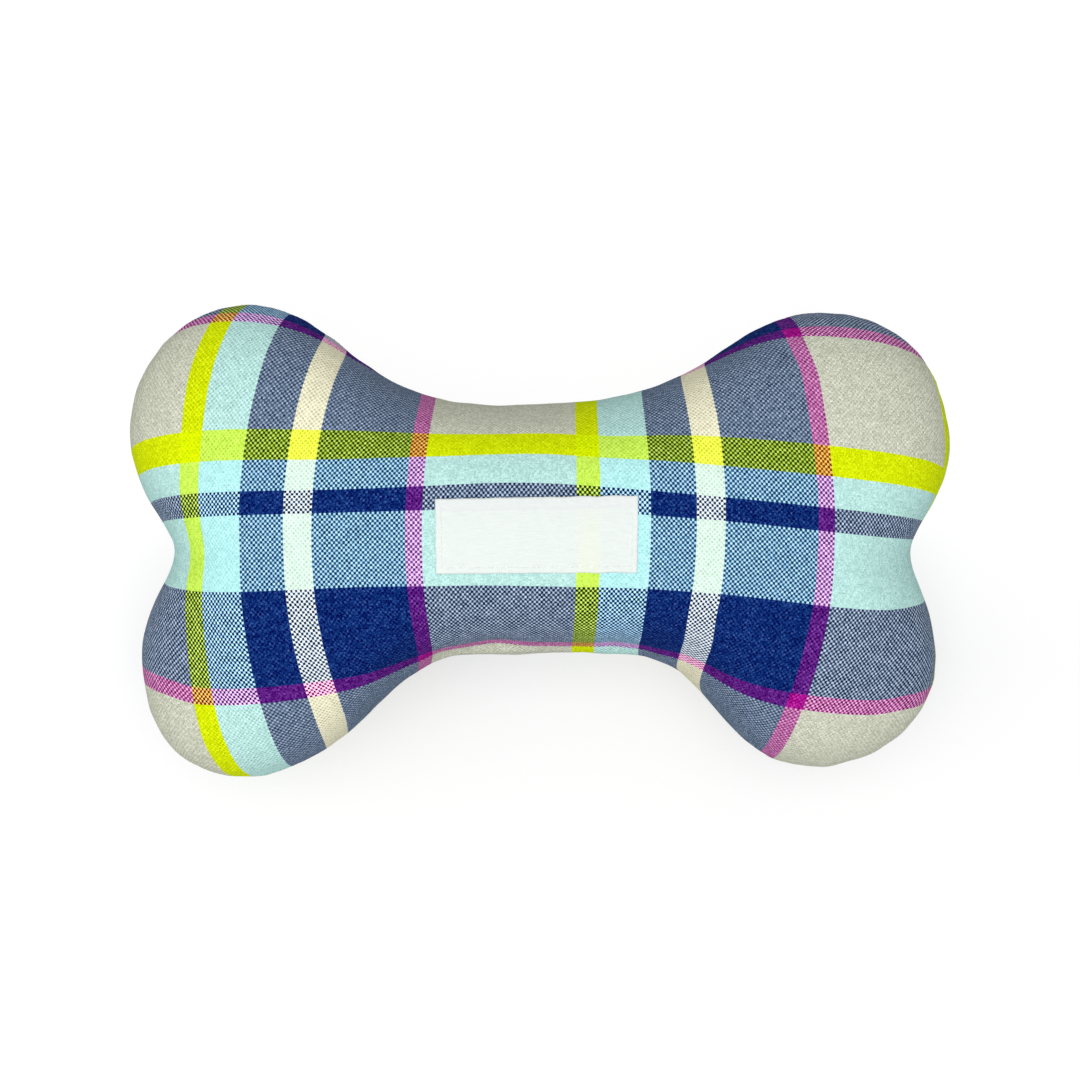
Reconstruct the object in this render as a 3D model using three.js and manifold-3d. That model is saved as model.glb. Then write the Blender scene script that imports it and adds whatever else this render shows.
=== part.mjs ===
// A bone-shaped stuffed toy: two plaid cotton panels sewn together right round, turned right side out,
// filled with polyester fibre round a squeaker, and closed by hand with a ladder stitch at one waist.
// Millimetres. X runs along the bone, Y across it and Z up; the bone lies on its back panel at Z = 0.

import * as THREE from 'three';
import { mergeVertices } from 'three/addons/utils/BufferGeometryUtils.js';
import Module from 'manifold-3d';

const wasm = await Module();
wasm.setup();

// Driving sizes of the stuffed bone
const boneLength = 217;
const boneWidth = 125;
const frontRise = 38; // from the seam to the crown of the front
const backDepth = 36.5; // from the seam to the belly of the back, before it is pressed flat
const restFlatDepth = 0.5; // how deep the belly is pressed flat by what it lies on
const crownReach = 66; // the ridge of the stuffing runs this far each way along X
const crownTaperShare = 0.16; // how much of its height the ridge has lost at its ends

// The cloth and its seam
const clothThickness = 0.6;
const seamAllowance = 6;
const seamThreadInset = 1.4; // from the seam to the row of stitches, measured on the allowance
const seamThreadWidth = 0.4;
const seatGap = 0.3; // left between pieces that lie against each other
const clearOverrun = 1; // how far a cutting solid runs past what it cuts

// The sewn label and its row of stitches
const labelLength = 50;
const labelHeight = 18.5;
const labelThickness = 0.4;
const labelShiftX = -1;
const labelShiftY = 1;
const labelStitchInset = 1.5;
const labelThreadWidth = 0.4;

// The hand-sewn closing in the seam
const closingLength = 58;
const closingStitchPitch = 3.2;
const closingStitchReach = 1.1;
const closingThreadDiameter = 0.5;

// The blown squeaker bulb and the plug in its mouth
const bulbDiameter = 44;
const bulbHeight = 22;
const bulbWall = 0.8;
const mouthDiameter = 9.6;
const mouthNeckLength = 4.5;
const plugLength = 8;
const plugLipDiameter = 12.4;
const plugLipThickness = 1;
const channelWidth = 2.4;
const channelDepth = 1.6;
const channelEndWall = 1;

// The reed between the two halves of the plug
const reedLength = 6.5;
const reedWidth = 3.4;
const reedThickness = 0.15;
const reedClampLength = 1.5;
const reedPocketDepth = 1.1;

// Fineness of the meshes
const columnsPerSide = 32;
const ringCount = 8;
const bulbSegments = 40;
const bulbRings = 12;
const plugSegments = 20;
const threadSides = 5;

// The seam's outline from the left notch to the right one, in shares of half the length and half the width
const farOutlineShares = [
  [-0.887, -0.042], [-0.956, 0.178], [-1, 0.402], [-0.985, 0.627], [-0.926, 0.821], [-0.829, 0.953],
  [-0.712, 1], [-0.585, 0.948], [-0.468, 0.796], [-0.341, 0.652], [-0.195, 0.584], [0, 0.58],
  [0.195, 0.61], [0.366, 0.716], [0.5, 0.868], [0.609, 0.955], [0.7, 0.965], [0.817, 0.923],
  [0.926, 0.796], [0.975, 0.61], [1, 0.364], [0.96, 0.169], [0.9, -0.042],
];
const nearOutlineShares = [
  [-0.887, -0.042], [-0.926, -0.212], [-0.968, -0.423], [-0.955, -0.677], [-0.897, -0.889],
  [-0.741, -1], [-0.585, -0.94], [-0.463, -0.804], [-0.341, -0.597], [-0.207, -0.491], [0, -0.482],
  [0.195, -0.487], [0.305, -0.517], [0.414, -0.677], [0.536, -0.902], [0.661, -0.957],
  [0.792, -0.91], [0.907, -0.745], [0.963, -0.504], [0.938, -0.279], [0.9, -0.042],
];
const knobCutShare = 0.29; // where the knob wads meet the shaft wads, of half the length
const frontFullness = 2.3; // a higher power makes the sides of the section stand up more
const backFullness = 2.9;
const frontTaperPower = 2;
const backTaperPower = 3;

// Derived places
const halfLength = boneLength / 2;
const halfWidth = boneWidth / 2;
const seamZ = backDepth - restFlatDepth;
const clothFace = seatGap / 2; // each panel's seam face stands this far off the seam plane
const allowanceTop = clothFace + clothThickness;
const grooveHalf = allowanceTop + seatGap + seamThreadWidth + seatGap;
const fillInset = clothThickness + seatGap;

// Materials
const plaidCotton = new THREE.MeshStandardMaterial({ color: 0x5f7fb4, roughness: 0.95, metalness: 0 });
const plaidBackCotton = new THREE.MeshStandardMaterial({ color: 0x9fb9bf, roughness: 0.95, metalness: 0 });
const labelCotton = new THREE.MeshStandardMaterial({ color: 0xf2f1ec, roughness: 0.9, metalness: 0 });
const whiteThread = new THREE.MeshStandardMaterial({ color: 0xf4f3ee, roughness: 0.7, metalness: 0 });
const fibreFill = new THREE.MeshStandardMaterial({ color: 0xf7f7f5, roughness: 1, metalness: 0 });
const softPlastic = new THREE.MeshStandardMaterial({ color: 0xdfe6ea, roughness: 0.45, metalness: 0 });
const hardPlastic = new THREE.MeshStandardMaterial({ color: 0xf0eee6, roughness: 0.4, metalness: 0 });
const reedFilm = new THREE.MeshStandardMaterial({ color: 0xc9d3d8, roughness: 0.3, metalness: 0 });

// A welded closed geometry, its faces turned outward, as a solid that can be cut and joined
function toSolid(geometry) {
  const bare = geometry.clone();
  bare.deleteAttribute('normal');
  bare.deleteAttribute('uv');
  const welded = mergeVertices(bare);
  const position = welded.attributes.position;
  const places = Float32Array.from(position.array);
  const corners = welded.index.array;
  const point = [new THREE.Vector3(), new THREE.Vector3(), new THREE.Vector3()];
  const kept = [];
  let volume = 0;
  for (let t = 0; t < corners.length; t += 3) {
    const triangle = [corners[t], corners[t + 1], corners[t + 2]];
    if (new Set(triangle).size < triangle.length) {
      continue;
    }
    kept.push(...triangle);
    point.forEach((p, n) => p.fromBufferAttribute(position, triangle[n]));
    volume += point[0].dot(point[1].cross(point[2]));
  }
  const index = Uint32Array.from(volume < 0 ? kept.reverse() : kept);
  return new wasm.Manifold(new wasm.Mesh({ numProp: 3, vertProperties: places, triVerts: index }));
}

function toGeometry(solid) {
  const mesh = solid.getMesh();
  const geometry = new THREE.BufferGeometry();
  const places = new Float32Array(mesh.vertProperties);
  geometry.setAttribute('position', new THREE.BufferAttribute(places, 3));
  geometry.setIndex(new THREE.BufferAttribute(new Uint32Array(mesh.triVerts), 1));
  geometry.computeVertexNormals();
  return geometry;
}

function boxSolid(low, high) {
  const size = new THREE.Vector3().subVectors(high, low);
  const middle = new THREE.Vector3().addVectors(low, high).multiplyScalar(0.5);
  const box = new THREE.BoxGeometry(size.x, size.y, size.z);
  return toSolid(box.translate(middle.x, middle.y, middle.z));
}

// The seam's outline from notch to notch along one side, as a smooth curve through its points
function outlineCurve(shares) {
  const points = shares.map(([x, y]) => new THREE.Vector3(x * halfLength, y * halfWidth, 0));
  return new THREE.CatmullRomCurve3(points, false, 'centripetal');
}

const farCurve = outlineCurve(farOutlineShares);
const nearCurve = outlineCurve(nearOutlineShares);
const farFeet = farCurve.getSpacedPoints(columnsPerSide);
const nearFeet = nearCurve.getSpacedPoints(columnsPerSide);

// The curve's own reach differs a little from its points', so it is fitted to the stated length and width
const traced = new THREE.Box3().setFromPoints([...farFeet, ...nearFeet]);
const tracedSize = traced.getSize(new THREE.Vector3());
const tracedMiddle = traced.getCenter(new THREE.Vector3());
const fitScale = new THREE.Vector3(boneLength / tracedSize.x, boneWidth / tracedSize.y, 1);

function fitted(point) {
  return point.clone().sub(tracedMiddle).multiply(fitScale);
}

// The outline as one loop of columns: left notch, far side, right notch, near side back again
function outlineLoop() {
  const far = farFeet.map(fitted);
  const near = nearFeet.map(fitted);
  const loop = [];
  for (let i = 0; i <= columnsPerSide; i += 1) {
    loop.push({ foot: far[i], step: i });
  }
  for (let i = columnsPerSide - 1; i > 0; i -= 1) {
    loop.push({ foot: near[i], step: i });
  }
  loop.forEach((column, i) => {
    const turn = Math.PI * column.step / columnsPerSide;
    const ridgeY = (far[column.step].y + near[column.step].y) / 2;
    const before = loop[(i + loop.length - 1) % loop.length].foot;
    const after = loop[(i + 1) % loop.length].foot;
    const along = new THREE.Vector3().subVectors(after, before).normalize();
    column.ridge = new THREE.Vector3(-crownReach * Math.cos(turn), ridgeY, 0);
    column.ridgeShare = Math.abs(Math.cos(turn));
    column.inward = new THREE.Vector3(along.y, -along.x, 0);
  });
  return loop;
}

const columns = outlineLoop();
const middleRidge = columns[columnsPerSide / 2].ridge;

// A loop of points at an inset from the seam and a height from its plane
function levelRing(inset, height) {
  return columns.map(({ foot, inward }) => {
    const point = foot.clone().addScaledVector(inward, inset);
    point.z = seamZ + height;
    return point;
  });
}

// Loops of points up one swelling side of the bone, from the seam to the ridge
// side is 1 for the front and -1 for the back; sink is how far the skin lies inside the outer face
function swellingRings(side, sink, rim) {
  const rise = side > 0 ? frontRise : backDepth;
  const fullness = side > 0 ? frontFullness : backFullness;
  const taperPower = side > 0 ? frontTaperPower : backTaperPower;
  const rings = [];
  for (let k = ringCount; k >= 0; k -= 1) {
    const reach = Math.sin(Math.PI / 2 * k / ringCount);
    const swell = Math.sqrt(1 - reach ** fullness);
    rings.push(columns.map(({ foot, inward, ridge, ridgeShare }) => {
      const crown = rise * (1 - crownTaperShare * ridgeShare ** taperPower) - sink;
      const edge = foot.clone().addScaledVector(inward, sink);
      const point = ridge.clone().lerp(edge, reach);
      point.z = seamZ + side * (rim + (crown - rim) * swell);
      return point;
    }));
  }
  return rings;
}

// The ridge line itself, at one height, which closes a flat face
function ridgeRing(height) {
  return columns.map(({ ridge }) => new THREE.Vector3(ridge.x, ridge.y, seamZ + height));
}

// A closed skin through loops of points, each with one point a column
function loftSolid(rings, closed) {
  const places = [];
  for (const ring of rings) {
    for (const point of ring) {
      places.push(point.x, point.y, point.z);
    }
  }
  const around = columns.length;
  const index = [];
  const spans = closed ? rings.length : rings.length - 1;
  for (let r = 0; r < spans; r += 1) {
    const next = (r + 1) % rings.length;
    for (let i = 0; i < around; i += 1) {
      const j = (i + 1) % around;
      index.push(r * around + i, r * around + j, next * around + j);
      index.push(r * around + i, next * around + j, next * around + i);
    }
  }
  const skin = new THREE.BufferGeometry();
  skin.setAttribute('position', new THREE.BufferAttribute(new Float32Array(places), 3));
  skin.setIndex(index);
  return toSolid(skin);
}

// The space inside one skin of a half: the swelling side, closed flat near the seam plane
function halfSolid(side, sink, rim) {
  return loftSolid([...swellingRings(side, sink, rim).reverse(), ridgeRing(side * rim)], false);
}

function aboveSolid(z) {
  const reach = boneLength + boneWidth;
  return boxSolid(new THREE.Vector3(-reach, -reach, z), new THREE.Vector3(reach, reach, z + reach));
}

// A panel: cloth shell over one half, its allowance turned in along the seam plane
function panelSolid(side) {
  const outer = halfSolid(side, 0, clothFace).intersect(aboveSolid(0));
  const hollow = halfSolid(side, clothThickness, allowanceTop).intersect(aboveSolid(clothThickness));
  const windowRings = [
    ridgeRing(-side * clearOverrun),
    levelRing(seamAllowance, -side * clearOverrun),
    levelRing(seamAllowance, side * (allowanceTop + clothThickness)),
    ridgeRing(side * (allowanceTop + clothThickness)),
  ];
  return outer.subtract(hollow).subtract(loftSolid(windowRings, false));
}

// The stuffing as one body: both swelling sides, with a groove for the turned-in allowances
function stuffingSolid() {
  const front = swellingRings(1, fillInset, allowanceTop).reverse();
  const back = swellingRings(-1, fillInset, allowanceTop);
  const grooveRings = [
    levelRing(-clearOverrun, -grooveHalf),
    levelRing(-clearOverrun, grooveHalf),
    levelRing(seamAllowance + seatGap, grooveHalf),
    levelRing(seamAllowance + seatGap, -grooveHalf),
  ];
  const whole = loftSolid([...front, ...back], false).intersect(aboveSolid(fillInset));
  return whole.subtract(loftSolid(grooveRings, true));
}

// The panels, their cut faces at the belly, and the label laid over the crown
const frontPanel = panelSolid(1);
const backPanel = panelSolid(-1);

// A skin of some thickness that floats a little way over the front panel, cut to a rectangle
function overFrontSolid(lift, thickness, long, high) {
  const sheet = halfSolid(1, -lift - thickness, 0).subtract(halfSolid(1, -lift, -clearOverrun));
  const low = new THREE.Vector3(labelShiftX - long / 2, labelShiftY - high / 2, seamZ + frontRise / 2);
  const high3 = new THREE.Vector3(labelShiftX + long / 2, labelShiftY + high / 2, seamZ + frontRise * 2);
  return sheet.intersect(boxSolid(low, high3));
}

const label = overFrontSolid(seatGap, labelThickness, labelLength, labelHeight);
const stitchLength = labelLength - 2 * labelStitchInset;
const stitchHeight = labelHeight - 2 * labelStitchInset;
const stitchLift = seatGap + labelThickness + seatGap;
const insideLength = stitchLength - 2 * labelThreadWidth;
const insideHeight = stitchHeight - 2 * labelThreadWidth;
const labelThread = overFrontSolid(stitchLift, labelThreadWidth, stitchLength, stitchHeight)
  .subtract(overFrontSolid(stitchLift - seatGap, labelThreadWidth + 2 * seatGap, insideLength, insideHeight));

// The machine stitches of the seam: one thread on the front's allowance, one on the back's
function seamThreadSolid(side) {
  const near = allowanceTop + seatGap;
  const far = near + seamThreadWidth;
  const rings = [
    levelRing(seamThreadInset, side * near),
    levelRing(seamThreadInset, side * far),
    levelRing(seamThreadInset + seamThreadWidth, side * far),
    levelRing(seamThreadInset + seamThreadWidth, side * near),
  ];
  return loftSolid(rings, true);
}

// The ladder stitches that close the seam at the near side of the waist
function closingThreadGeometry() {
  const total = nearCurve.getLength();
  const middle = total / 2;
  const stitches = Math.round(closingLength / closingStitchPitch);
  const path = [];
  for (let k = 0; k <= stitches; k += 1) {
    const along = (middle + (k - stitches / 2) * closingStitchPitch) / total;
    const point = fitted(nearCurve.getPointAt(along));
    const tangent = nearCurve.getTangentAt(along);
    const outward = new THREE.Vector3(tangent.y, -tangent.x, 0).normalize();
    point.addScaledVector(outward, seatGap + closingThreadDiameter);
    const side = k % 2 === 0 ? 1 : -1;
    point.z = seamZ + side * closingStitchReach;
    path.push(point);
  }
  const section = new THREE.Shape();
  for (let k = 0; k < threadSides; k += 1) {
    const turn = 2 * Math.PI * k / threadSides;
    const x = closingThreadDiameter / 2 * Math.cos(turn);
    const y = closingThreadDiameter / 2 * Math.sin(turn);
    if (k === 0) {
      section.moveTo(x, y);
    } else {
      section.lineTo(x, y);
    }
  }
  const route = new THREE.CatmullRomCurve3(path, false, 'centripetal');
  const stepsPerStitch = 4;
  return new THREE.ExtrudeGeometry(section, { steps: stitches * stepsPerStitch, extrudePath: route });
}

// The squeaker lies in the middle of the shaft, its mouth towards the back
const squeakerPlace = new THREE.Vector3(middleRidge.x, middleRidge.y, seamZ);
const bulbRadius = bulbDiameter / 2;
const bulbRise = bulbHeight / 2;
const mouthRadius = mouthDiameter / 2;
const neckRadius = mouthRadius + bulbWall;
const plugRadius = mouthRadius - seatGap;
const plugLipRadius = plugLipDiameter / 2;
const mouthZ = -bulbRise * Math.sqrt(1 - (neckRadius / bulbRadius) ** 2);
const plugOuterZ = -bulbRise - seatGap - plugLipThickness;

// An arc of the bulb's profile, from its crown down to a radius, grown or shrunk by a margin
function bulbArc(margin, endRadius) {
  const across = bulbRadius + margin;
  const up = bulbRise + margin;
  const last = Math.PI - Math.asin(endRadius / across);
  const points = [new THREE.Vector2(0, up)];
  for (let k = 1; k <= bulbRings; k += 1) {
    const turn = last * k / bulbRings;
    points.push(new THREE.Vector2(across * Math.sin(turn), up * Math.cos(turn)));
  }
  return points;
}

function latheSolid(profile) {
  const turned = new THREE.LatheGeometry(profile, bulbSegments).rotateX(Math.PI / 2);
  return toSolid(turned.translate(squeakerPlace.x, squeakerPlace.y, squeakerPlace.z));
}

function bulbSolid() {
  const outer = bulbArc(0, neckRadius);
  const inner = bulbArc(-bulbWall, neckRadius).reverse();
  const neckTopZ = mouthZ + mouthNeckLength;
  const profile = [
    ...outer,
    new THREE.Vector2(mouthRadius, mouthZ),
    new THREE.Vector2(mouthRadius, neckTopZ),
    new THREE.Vector2(neckRadius, neckTopZ),
    ...inner,
  ];
  return latheSolid(profile);
}

// The room that the squeaker takes in the stuffing
function pocketSolid() {
  const bulbRoom = latheSolid([...bulbArc(seatGap, neckRadius), new THREE.Vector2(0, mouthZ - seatGap)]);
  const lipRoom = latheSolid([
    new THREE.Vector2(0, mouthZ + seatGap),
    new THREE.Vector2(plugLipRadius + seatGap, mouthZ + seatGap),
    new THREE.Vector2(plugLipRadius + seatGap, plugOuterZ - seatGap),
    new THREE.Vector2(0, plugOuterZ - seatGap),
  ]);
  return bulbRoom.add(lipRoom);
}

// The reed lies between the two halves of the plug, held at its root end near the lip
const plugInnerZ = plugOuterZ + plugLength;
const reedRootZ = plugOuterZ + plugLipThickness;
const hingeZ = reedRootZ + reedClampLength;
const channelFaceY = -seatGap / 2;
const reedLowY = channelFaceY + seatGap;
const reedHighY = reedLowY + reedThickness;

// Half a round bar of the plug, on one side of its splitting plane, with its lip at the outer end
function plugHalfSolid(side) {
  const bar = (radius, length) => {
    const section = new THREE.Shape();
    section.absarc(0, 0, radius, 0, 2 * Math.PI, false);
    const settings = { depth: length, bevelEnabled: false, curveSegments: plugSegments };
    const round = new THREE.ExtrudeGeometry(section, settings).translate(0, 0, plugOuterZ);
    return toSolid(round.translate(squeakerPlace.x, squeakerPlace.y, squeakerPlace.z));
  };
  const reach = plugLipDiameter;
  const nearY = side > 0 ? seatGap / 2 : -reach;
  const farY = side > 0 ? reach : -seatGap / 2;
  const lowZ = plugOuterZ - clearOverrun;
  const highZ = plugInnerZ + clearOverrun;
  const half = plugBoxSolid([-reach, nearY, lowZ], [reach, farY, highZ]);
  return bar(plugRadius, plugLength).add(bar(plugLipRadius, plugLipThickness)).intersect(half);
}

// A box placed about the squeaker's middle
function plugBoxSolid(low, high) {
  const from = new THREE.Vector3(...low).add(squeakerPlace);
  const to = new THREE.Vector3(...high).add(squeakerPlace);
  return boxSolid(from, to);
}

function channelHalfSolid() {
  const low = [-channelWidth / 2, channelFaceY - channelDepth, plugOuterZ - clearOverrun];
  const high = [channelWidth / 2, clearOverrun, plugInnerZ - channelEndWall];
  return plugHalfSolid(-1).subtract(plugBoxSolid(low, high));
}

function coverHalfSolid() {
  const halfSlot = reedWidth / 2 + seatGap;
  const slotLow = [-halfSlot, -clearOverrun, reedRootZ - seatGap];
  const slotHigh = [halfSlot, reedHighY + seatGap, plugInnerZ + clearOverrun];
  const pocketLow = [-halfSlot, -clearOverrun, hingeZ];
  const pocketHigh = [halfSlot, reedHighY + reedPocketDepth, plugInnerZ + clearOverrun];
  const slot = plugBoxSolid(slotLow, slotHigh).add(plugBoxSolid(pocketLow, pocketHigh));
  return plugHalfSolid(1).subtract(slot);
}

function reedSolid() {
  const low = [-reedWidth / 2, reedLowY, reedRootZ];
  const high = [reedWidth / 2, reedHighY, reedRootZ + reedLength];
  return plugBoxSolid(low, high);
}

// The wads of stuffing: two round the squeaker in the shaft, and one in each knob, cut by the shaft's
const pocket = pocketSolid();
const stuffing = stuffingSolid().subtract(pocket);
const knobCutX = halfLength * knobCutShare;
const halfGap = seatGap / 2;

function wadSolid(low, high) {
  return stuffing.intersect(boxSolid(new THREE.Vector3(...low), new THREE.Vector3(...high)));
}

const far = boneLength + boneWidth;
const shaftHalf = knobCutX - halfGap;
const knobStart = knobCutX + halfGap;
const shaftFrontWad = wadSolid([-shaftHalf, -far, seamZ + halfGap], [shaftHalf, far, far]);
const shaftBackWad = wadSolid([-shaftHalf, -far, -far], [shaftHalf, far, seamZ - halfGap]);
const leftNotchY = columns[0].foot.y;
const rightNotchY = columns[columnsPerSide].foot.y;
const leftFarWad = wadSolid([-far, leftNotchY + halfGap, -far], [-knobStart, far, far]);
const leftNearWad = wadSolid([-far, -far, -far], [-knobStart, leftNotchY - halfGap, far]);
const rightFarWad = wadSolid([knobStart, rightNotchY + halfGap, -far], [far, far, far]);
const rightNearWad = wadSolid([knobStart, -far, -far], [far, rightNotchY - halfGap, far]);

// The toy, piece by piece
const toy = new THREE.Group();
toy.name = 'bone_toy';

function addPiece(name, geometry, material) {
  const piece = new THREE.Mesh(geometry, material);
  piece.name = name;
  toy.add(piece);
}

addPiece('front_panel', toGeometry(frontPanel), plaidCotton);
addPiece('back_panel', toGeometry(backPanel), plaidBackCotton);
addPiece('label', toGeometry(label), labelCotton);
addPiece('label_thread', toGeometry(labelThread), whiteThread);
addPiece('seam_needle_thread', toGeometry(seamThreadSolid(1)), whiteThread);
addPiece('seam_bobbin_thread', toGeometry(seamThreadSolid(-1)), whiteThread);
addPiece('closing_thread', closingThreadGeometry(), whiteThread);
addPiece('shaft_fill_front', toGeometry(shaftFrontWad), fibreFill);
addPiece('shaft_fill_back', toGeometry(shaftBackWad), fibreFill);
addPiece('knob_fill_left_far', toGeometry(leftFarWad), fibreFill);
addPiece('knob_fill_left_near', toGeometry(leftNearWad), fibreFill);
addPiece('knob_fill_right_far', toGeometry(rightFarWad), fibreFill);
addPiece('knob_fill_right_near', toGeometry(rightNearWad), fibreFill);
addPiece('squeaker_bulb', toGeometry(bulbSolid()), softPlastic);
addPiece('squeaker_plug_channel_half', toGeometry(channelHalfSolid()), hardPlastic);
addPiece('squeaker_plug_cover_half', toGeometry(coverHalfSolid()), hardPlastic);
addPiece('squeaker_reed', toGeometry(reedSolid()), reedFilm);

export default toy;
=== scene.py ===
import math

import bmesh
import bpy
import numpy as np
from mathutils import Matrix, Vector, noise
from mathutils.bvhtree import BVHTree
from mathutils.geometry import delaunay_2d_cdt
from mathutils.kdtree import KDTree


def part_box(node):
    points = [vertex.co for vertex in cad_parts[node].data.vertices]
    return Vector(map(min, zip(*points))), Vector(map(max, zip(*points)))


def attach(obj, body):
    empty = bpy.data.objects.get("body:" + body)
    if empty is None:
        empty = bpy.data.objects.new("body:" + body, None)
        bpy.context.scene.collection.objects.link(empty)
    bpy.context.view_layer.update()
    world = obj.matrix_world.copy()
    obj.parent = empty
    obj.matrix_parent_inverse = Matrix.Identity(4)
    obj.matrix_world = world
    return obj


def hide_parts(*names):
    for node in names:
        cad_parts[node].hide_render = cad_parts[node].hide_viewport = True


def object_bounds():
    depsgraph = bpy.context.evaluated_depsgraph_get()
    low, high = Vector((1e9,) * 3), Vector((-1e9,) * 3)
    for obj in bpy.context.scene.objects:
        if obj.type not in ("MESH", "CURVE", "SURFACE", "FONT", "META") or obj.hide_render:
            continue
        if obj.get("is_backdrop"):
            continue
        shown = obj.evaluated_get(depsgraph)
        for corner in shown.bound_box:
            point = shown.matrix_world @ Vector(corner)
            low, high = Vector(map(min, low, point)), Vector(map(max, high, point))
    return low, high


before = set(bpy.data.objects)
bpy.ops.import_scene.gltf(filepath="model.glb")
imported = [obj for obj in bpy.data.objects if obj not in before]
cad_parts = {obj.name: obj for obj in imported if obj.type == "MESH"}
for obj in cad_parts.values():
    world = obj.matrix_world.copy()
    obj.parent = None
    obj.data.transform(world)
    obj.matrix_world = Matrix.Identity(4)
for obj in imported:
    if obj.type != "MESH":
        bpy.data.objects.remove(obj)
frame_box = [list(corner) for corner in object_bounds()]


# The studio
# The toy lies on a white sweep under a plain white sky and is photographed from straight above. A broad lamp
# hangs over it, with a weaker one toward its lower edge and one toward its left end. The sweep and the sky
# show white to the camera. The sweep keeps the soft shadow under the toy and below its lower edge; toward
# its upper edge and far from it, a glow that only the camera sees is painted light over the toy's shadow.
class Wire:
    """One output of a material's node. Sums on wires add Math nodes to the same material."""

    def __init__(self, finish, output):
        self.finish = finish
        self.output = output

    def maths(self, operation, *values):
        sockets = dict(enumerate(values))
        return self.finish.node("ShaderNodeMath", {"operation": operation}, sockets)

    def __add__(self, other):
        return self.maths("ADD", self, other)

    __radd__ = __add__

    def __sub__(self, other):
        return self.maths("SUBTRACT", self, other)

    def __rsub__(self, other):
        return self.maths("SUBTRACT", other, self)

    def __mul__(self, other):
        return self.maths("MULTIPLY", self, other)

    __rmul__ = __mul__

    def __truediv__(self, other):
        return self.maths("DIVIDE", self, other)

    def __pow__(self, other):
        return self.maths("POWER", self, other)

    def __mod__(self, other):
        return self.maths("FLOORED_MODULO", self, other)

    def __gt__(self, other):
        return self.maths("GREATER_THAN", self, other)

    def __lt__(self, other):
        return self.maths("LESS_THAN", self, other)

    def __abs__(self):
        return self.maths("ABSOLUTE", self)

    def floor(self):
        return self.maths("FLOOR", self)

    def sine(self):
        return self.maths("SINE", self)

    def clamped(self):
        return self.finish.node("ShaderNodeClamp", {}, {"Value": self})

    def axis(self, number):
        return self.finish.node("ShaderNodeSeparateXYZ", {}, {0: self}, number)


class Finish:
    """A material, or the world, under construction. Every node comes from node()."""

    def __init__(self, name, world=None):
        self.block = world or bpy.data.materials.new(name)
        self.block.use_nodes = True
        self.tree = self.block.node_tree
        self.tree.nodes.clear()

    def node(self, kind, settings=None, sockets=None, output=0):
        made = self.tree.nodes.new(kind)
        for key, value in (settings or {}).items():
            if key == "stops":
                set_stops(made.color_ramp, value)
            else:
                setattr(made, key, value)
        for place, value in (sockets or {}).items():
            if isinstance(value, Wire):
                self.tree.links.new(value.output, made.inputs[place])
            else:
                made.inputs[place].default_value = value
        return Wire(self, made.outputs[output]) if made.outputs else made

    def mix(self, share, first, second):
        sockets = {0: share, 6: first, 7: second}
        return self.node("ShaderNodeMix", {"data_type": "RGBA"}, sockets, 2)

    def noise(self, where, scale, detail=2.0, rough=0.5):
        sockets = {"Vector": where, "Scale": scale, "Detail": detail, "Roughness": rough}
        return self.node("ShaderNodeTexNoise", {}, sockets)

    def luma(self, tint):
        return self.node("ShaderNodeRGBToBW", {}, {0: tint})

    def scaled(self, tint, share):
        return self.node("ShaderNodeVectorMath", {"operation": "SCALE"}, {0: tint, "Scale": share})

    def vector(self, operation, first, second):
        return self.node("ShaderNodeVectorMath", {"operation": operation}, {0: first, 1: second})

    def curved(self, tint, power):
        return self.node("ShaderNodeGamma", {}, {0: tint, 1: power})

    def seen(self):
        """1 where the camera or a glossy piece sees the surface, 0 where light only bounces off it."""
        by_camera = self.node("ShaderNodeLightPath", {}, {}, "Is Camera Ray")
        by_gloss = self.node("ShaderNodeLightPath", {}, {}, "Is Glossy Ray")
        return by_camera.maths("MAXIMUM", by_camera, by_gloss)

    def show(self, shader):
        self.node("ShaderNodeOutputMaterial", {}, {"Surface": shader})
        return self.block

    def surface(self, tint, height, rough, strength, depth, shine=0.5):
        """The finished material: a colour and a roughness, with bumps that follow a height."""
        bump = self.node("ShaderNodeBump", {}, {"Strength": strength, "Distance": depth, "Height": height})
        sockets = {"Base Color": tint, "Roughness": rough, "Normal": bump, "Specular IOR Level": shine}
        return self.show(self.node("ShaderNodeBsdfPrincipled", {}, sockets))


def set_stops(ramp, stops):
    """Stops are (place, dye) pairs. Each dye holds to the next stop."""
    ramp.interpolation = "CONSTANT"
    for place, dye in stops[len(ramp.elements):]:
        ramp.elements.new(place)
    for element, (place, dye) in zip(ramp.elements, stops):
        element.position = place
        element.color = dye


def colour(red, green, blue):
    """A colour as a picture shows it, 0 to 255 a channel, as the light that a shader takes."""
    shares = [channel / 255 for channel in (red, green, blue)]
    linear = [s / 12.92 if s <= 0.04045 else ((s + 0.055) / 1.055) ** 2.4 for s in shares]
    return (*linear, 1.0)


def placed(name, data):
    """A new piece in the scene, from its mesh, camera or lamp data."""
    made = bpy.data.objects.new(name, data)
    bpy.context.scene.collection.objects.link(made)
    return made


def dress(mesh, material):
    """Gives a mesh one material in place of any that it has."""
    mesh.materials.clear()
    mesh.materials.append(material)


CAMERA_HEIGHT = 0.430
PICTURE_WIDTH = 0.288
SENSOR = 36.0

seam_z = (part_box("front_panel")[0].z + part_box("back_panel")[1].z) / 2
camera_data = bpy.data.cameras.new("camera")
camera_data.sensor_width = SENSOR
camera_data.lens = SENSOR * CAMERA_HEIGHT / PICTURE_WIDTH
camera = placed("camera", camera_data)
camera.location = (0, 0, seam_z + CAMERA_HEIGHT)
bpy.context.scene.camera = camera

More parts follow.
